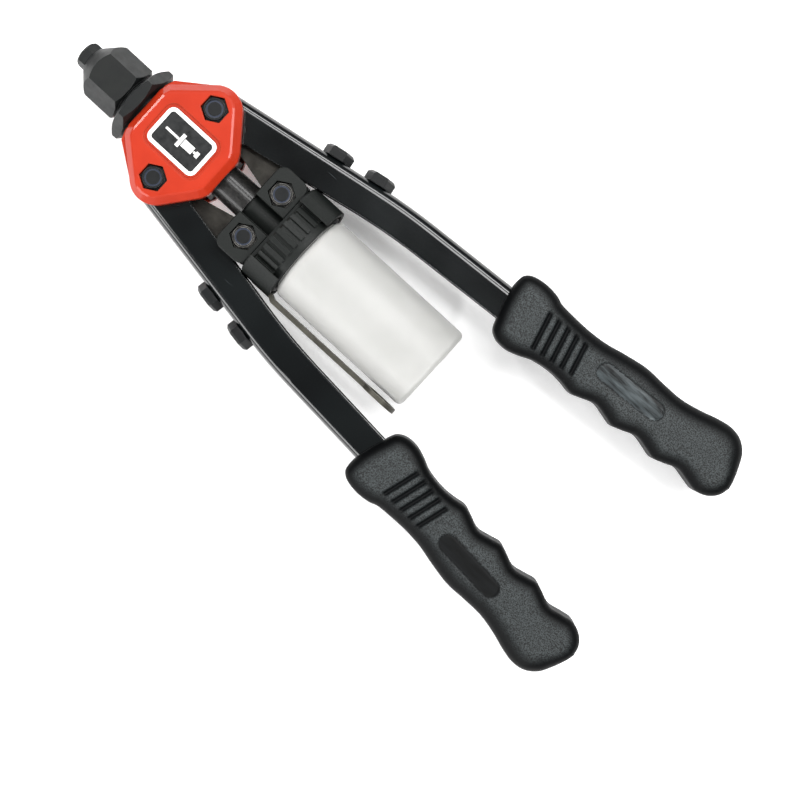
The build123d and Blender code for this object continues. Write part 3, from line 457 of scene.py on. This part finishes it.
def grip_height(u, v, edge):
    """Half thickness of the grip in mm, how flat and grainy the face is, and the distance to the inlay:
    a quarter-round rim, wider on the palm side, a falling crown, slanted grooves with a rounded floor
    between raised ridges, and a stadium inlay with a thin line around it. The flatness also sets painted
    shade: it falls to 0 on the rim, in the grooves and in the line, where the grip is painted near black."""
    radius = RIM_RADIUS + RIM_PALM_EXTRA * np.clip(v / 8.0, 0, 1) * np.clip((u - 8.0) / 20.0, 0, 1)
    inside = np.clip(edge / radius, 0, 1)
    rim = radius * (1 - np.sqrt(1 - (1 - inside) ** 2)) * RIM_FALL
    height = GRIP_HALF - rim - CROWN * np.exp(-edge / CROWN_REACH)
    # flatness: 1 on the flat face, 0 on the rim, where the material paints the rim near black as shade
    face = np.clip((edge - 0.35 * radius) / (0.95 * radius), 0, 1)
    face = face * face * (3 - 2 * face)
    along = u + GROOVE_LEAN * v
    for index in range(GROOVE_COUNT + 1):
        middle = GROOVE_FIRST + GROOVE_PITCH * index
        top = GROOVE_PALM_END + GROOVE_PALM_STEP * index
        bottom = GROOVE_FINGER_END + GROOVE_FINGER_STEP * index
        fade = np.clip((top - v) / GROOVE_RUN_OUT, 0, 1) * np.clip((v - bottom) / GROOVE_RUN_OUT, 0, 1)
        if index < GROOVE_COUNT:
            across = np.abs(along - middle) / (GROOVE_WIDTH / 2)
            cut = np.clip(1.15 - across, 0, 1) ** 0.6 * fade
            height = height - GROOVE_DEPTH * cut
            # the grooves drop the flatness too, so their floors are painted near black as shade
            face = face * (1 - 0.95 * np.clip(cut * 1.6, 0, 1))
        ridge = np.exp(-((along - middle + GROOVE_PITCH / 2) / RIDGE_WIDTH) ** 2)
        height = height + RIDGE_HEIGHT * ridge * fade
    distance = stadium(u, v)
    # the thin line round the inlay drops the flatness, painting it dark as shade
    line = np.exp(-(distance / LINE_WIDTH) ** 2)
    return height - LINE_DEPTH * line, face * (1 - 0.9 * line), distance


def distance_to_outline(points, ring):
    """Distance from each point to the closed outline, in blocks that keep the arrays small."""
    runs = np.roll(ring, -1, axis=0) - ring
    length = np.maximum((runs ** 2).sum(1), 1e-12)
    edge = np.empty(len(points))
    block = 4000
    for low in range(0, len(points), block):
        apart = points[low:low + block][:, None, :] - ring[None]
        share = np.clip((apart * runs[None]).sum(2) / length, 0, 1)
        edge[low:low + block] = np.sqrt((((apart - share[..., None] * runs[None]) ** 2).sum(2)).min(1))
    return edge


def make_grip(name, side, inlay):
    """Grip shell: two faces lofted between the palm and finger chains, joined by the outline's side wall.
    A face point is (1 - b) palm + b finger, with b on a cosine spacing so that the rim gets more rows."""
    count, rows, wall = 430, 72, 10
    palm, finger = grip_outline(count)
    spread = (1 - np.cos(np.pi * np.linspace(0, 1, rows))) / 2
    flat = palm[:, None, :] * (1 - spread)[None, :, None] + finger[:, None, :] * spread[None, :, None]
    ring = np.vstack([palm, finger[::-1]])
    u, v = flat.reshape(-1, 2).T
    height, face, _ = grip_height(u, v, distance_to_outline(flat.reshape(-1, 2), ring))
    cos, sin = math.cos(GRIP_LEAN), math.sin(GRIP_LEAN)

    def placed(along, out, up):
        x = GRIP_ORIGIN[0] + along * cos - out * sin
        y = side * (GRIP_ORIGIN[1] + along * sin + out * cos)
        return np.stack([x, y, up], -1) * MM

    top = placed(u, v, height)
    under = placed(u, v, -height)
    faces = [grid_faces(count, rows, 0, flip=side < 0), grid_faces(count, rows, len(top), flip=side > 0)]
    rim_height = grip_height(ring[:, 0], ring[:, 1], np.zeros(len(ring)))[0]
    levels = np.linspace(1, -1, wall)
    wall_points = placed(np.tile(ring[:, 0], wall), np.tile(ring[:, 1], wall),
                         (levels[:, None] * rim_height[None]).ravel())
    faces.append(grid_faces(wall, len(ring), 2 * len(top), wrap=True, flip=side > 0))
    made = make_mesh(name, np.vstack([top, under, wall_points]), np.vstack(faces), GRIP)
    # the flatness attribute also carries the painted shade of the rim, grooves and inlay line
    layer = made.data.attributes.new("flatness_and_painted_shade", "FLOAT", "POINT")
    layer.data.foreach_set("value", np.concatenate([face, face, np.zeros(len(wall_points))]))

    made.data.materials.append(inlay)
    centres = np.empty(len(made.data.polygons) * 3)
    made.data.polygons.foreach_get("center", centres)
    x, y, z = centres.reshape(-1, 3).T / MM
    x, y = x - GRIP_ORIGIN[0], side * y - GRIP_ORIGIN[1]
    marked = (stadium(x * cos + y * sin, y * cos - x * sin) < 0) & (np.abs(z) > FACE_LEVEL)
    made.data.polygons.foreach_set("material_index", marked.astype(np.int32))
    join_close(made)
    return made


for side, name, inlay in ((1, "upper", INLAY_LIGHT), (-1, "lower", INLAY_DARK)):
    grip = make_grip(name + "_moulded_grip", side, inlay)
    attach(grip, name + "_arm")
    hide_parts(name + "_grip")


# ---------------------------------------------------------------- return spring
coil = bpy.data.objects.new("return_coil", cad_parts["jaw_spring"].data.copy())
bpy.context.scene.collection.objects.link(coil)
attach(coil, "puller")
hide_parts("jaw_spring")
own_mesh(coil)


# ---------------------------------------------------------------- bottle
def lathe(name, profile, material, segments=128):
    """Closed ring of (x, radius) points in mm turned about the tool's axis."""
    profile = np.asarray(profile, float) * MM
    angles = np.linspace(0, 2 * np.pi, segments, endpoint=False)
    verts = np.stack([np.repeat(profile[:, :1], segments, 1),
                      profile[:, 1:] * np.cos(angles)[None], profile[:, 1:] * np.sin(angles)[None]], -1)
    return make_mesh(name, verts.reshape(-1, 3), grid_faces(len(profile), segments, wrap=True), material)


def arc(centre, radius, start, end, count=10):
    """Points on an arc in the (x, radius) half plane, angles in degrees."""
    angles = np.radians(np.linspace(start, end, count))
    return [(centre[0] + radius * math.cos(a), centre[1] + radius * math.sin(a)) for a in angles]


BOTTLE_WALL = 1.2
NECK_RADIUS = 17.9
SHOULDER_X = 129.7
SHOULDER_ROUND = 3.2
HEEL_ROUND = 2.6
BASE_HOLLOW = 0.7                         # the base stands on a ring at its heel
AXIS = 0.001                              # radius of the small hole that stands for the axis


def make_bottle():
    """Bottle wall: an outer profile with rounded shoulder and heel, then the same profile one wall inside."""
    low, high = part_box("bottle")
    neck, end, radius = low[0] / MM, high[0] / MM, high[1] / MM
    shoulder = (SHOULDER_X + SHOULDER_ROUND, radius - SHOULDER_ROUND)
    heel = (end - HEEL_ROUND, radius - HEEL_ROUND)
    outer = [(neck, NECK_RADIUS - BOTTLE_WALL), (neck, NECK_RADIUS), (SHOULDER_X, NECK_RADIUS)]
    outer += arc(shoulder, SHOULDER_ROUND, 180, 90)
    outer += [(SHOULDER_X + 20 * i, radius) for i in (1, 2, 3)]
    outer += arc(heel, HEEL_ROUND, 90, 0)
    outer += [(end - 0.6, radius - 6), (end - BASE_HOLLOW, 8), (end - BASE_HOLLOW, AXIS)]
    inner = [(end - BASE_HOLLOW - BOTTLE_WALL, AXIS), (end - 0.8 - BOTTLE_WALL, radius - 6)]
    inner += arc(heel, HEEL_ROUND - BOTTLE_WALL, 0, 90)
    inner += [(SHOULDER_X + 20 * i, radius - BOTTLE_WALL) for i in (3, 2, 1)]
    inner += arc(shoulder, SHOULDER_ROUND - BOTTLE_WALL, 90, 180)
    inner += [(neck, NECK_RADIUS - BOTTLE_WALL)]
    made = lathe("blow_moulded_bottle", outer + inner, BOTTLE)
    join_close(made)
    return made


bottle = make_bottle()
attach(bottle, "bottle")
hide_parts("bottle")


# ---------------------------------------------------------------- badge mark: a plain rivet, side view
# left, bottom, length and height of each bar in mm, from the badge's middle
MARK_BARS = [(-9.0, -0.5, 7.2, 1.0), (-1.6, -3.1, 1.7, 6.2), (0.5, -1.7, 5.6, 3.4), (6.5, -0.5, 0.9, 1.0),
             (7.6, -1.3, 1.7, 2.6)]
MARK_SUNK, MARK_PROUD = 0.2 * MM, 0.12 * MM


def badge_mark():
    """Rivet with mandrel, flange and body, as closed bars that stand a little proud of the dark field."""
    low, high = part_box("badge_plate")
    middle = ((low[0] + high[0]) / 2, (low[1] + high[1]) / 2)
    verts, quads = [], []
    for x, y, width, tall in MARK_BARS:
        for z in (high[2] - MARK_SUNK, high[2] + MARK_PROUD):
            for dx, dy in ((0, 0), (1, 0), (1, 1), (0, 1)):
                verts.append((middle[0] + (x + dx * width) * MM, middle[1] + (y + dy * tall) * MM, z))
        k = len(verts) - 8
        quads += [(k + 3, k + 2, k + 1, k), (k + 4, k + 5, k + 6, k + 7), (k, k + 1, k + 5, k + 4),
                  (k + 1, k + 2, k + 6, k + 5), (k + 2, k + 3, k + 7, k + 6), (k + 3, k, k + 4, k + 7)]
    return make_mesh("badge_rivet_mark", np.array(verts), np.array(quads), BADGE_WHITE, smooth=False)


mark = badge_mark()
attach(mark, "head")


# ---------------------------------------------------------------- floor, light and camera
def make_floor():
    """Plain white paper just under the tool, glowing a little so that shadows stay faint."""
    size = 3.0
    low = cad_box[0][2] - 0.5 * MM
    verts = np.array([(-size, -size, low), (size, -size, low), (size, size, low), (-size, size, low)])
    paper, _, body, _ = start_material("studio_paper", Roughness=0.9)
    body.inputs["Base Color"].default_value = linear("ffffff")
    body.inputs["Emission Color"].default_value = linear("ffffff")
    body.inputs["Emission Strength"].default_value = 0.2
    make_mesh("floor", verts, np.array([(0, 1, 2, 3)]), paper, smooth=False)


def area_light(name, place, size, power):
    """Rectangular soft box that faces the middle of the tool, its first side level and along X."""
    data = bpy.data.lights.new(name, "AREA")
    data.shape = "RECTANGLE"
    data.size, data.size_y = size
    data.energy = power
    made = bpy.data.objects.new(name, data)
    made.location = place
    back = (Vector(place) - LIT_POINT).normalized()
    side = Vector((0, 1, 0)).cross(back).normalized()
    made.rotation_euler = Matrix((side, back.cross(side), back)).transposed().to_euler()
    bpy.context.scene.collection.objects.link(made)


def make_world(strength):
    """Even white surroundings."""
    world = bpy.data.worlds.new("studio")
    world.use_nodes = True
    background = world.node_tree.nodes["Background"]
    background.inputs["Color"].default_value = (1, 1, 1, 1)
    background.inputs["Strength"].default_value = strength
    bpy.context.scene.world = world


LIT_POINT = Vector((0.17, 0.0, 0.0))
STRIP, BOX, FILL = (1.3, 0.22), (0.22, 0.22), (1.8, 0.5)
make_floor()
area_light("near_strip", (0.20, 0.36, 1.05), STRIP, 8.5)
area_light("far_strip", (0.20, 0.74, 0.85), STRIP, 10.0)
area_light("nose_box", (-0.55, -0.02, 0.80), BOX, 3.0)
area_light("heel_box", (0.62, -0.50, 0.80), BOX, 3.0)
area_light("flank_box", (-0.30, -0.55, 0.75), BOX, 2.0)
area_light("low_fill", (0.17, -1.30, 0.50), FILL, 17.0)
make_world(0.12)
bpy.context.scene.view_settings.view_transform = "Standard"

CAMERA_PLACE = (196.86, 4.9, 652.64)      # mm
CAMERA_TARGET = (201.45, -18.61, 0.0)     # mm
CAMERA_ROLL = 42.586                      # degrees
CAMERA_LENS = 67.94                       # mm, on a 36 mm sensor


def make_camera():
    """Camera almost straight above the tool, rolled so that the nose points up and to the left."""
    place = Vector(CAMERA_PLACE) * MM
    target = Vector(CAMERA_TARGET) * MM
    roll = math.radians(CAMERA_ROLL)
    data = bpy.data.cameras.new("camera")
    data.sensor_width = 36.0
    data.lens = CAMERA_LENS
    data.clip_start = 0.01
    made = bpy.data.objects.new("camera", data)
    back = (place - target).normalized()
    up = (Vector((0, 1, 0)) - back * back.y).normalized()
    right = up.cross(back)
    turned_up = up * math.cos(roll) - right * math.sin(roll)
    turned_right = right * math.cos(roll) + up * math.sin(roll)
    made.matrix_world = Matrix((
        (turned_right.x, turned_up.x, back.x, place.x), (turned_right.y, turned_up.y, back.y, place.y),
        (turned_right.z, turned_up.z, back.z, place.z), (0, 0, 0, 1)))
    bpy.context.scene.collection.objects.link(made)
    bpy.context.scene.camera = made


make_camera()
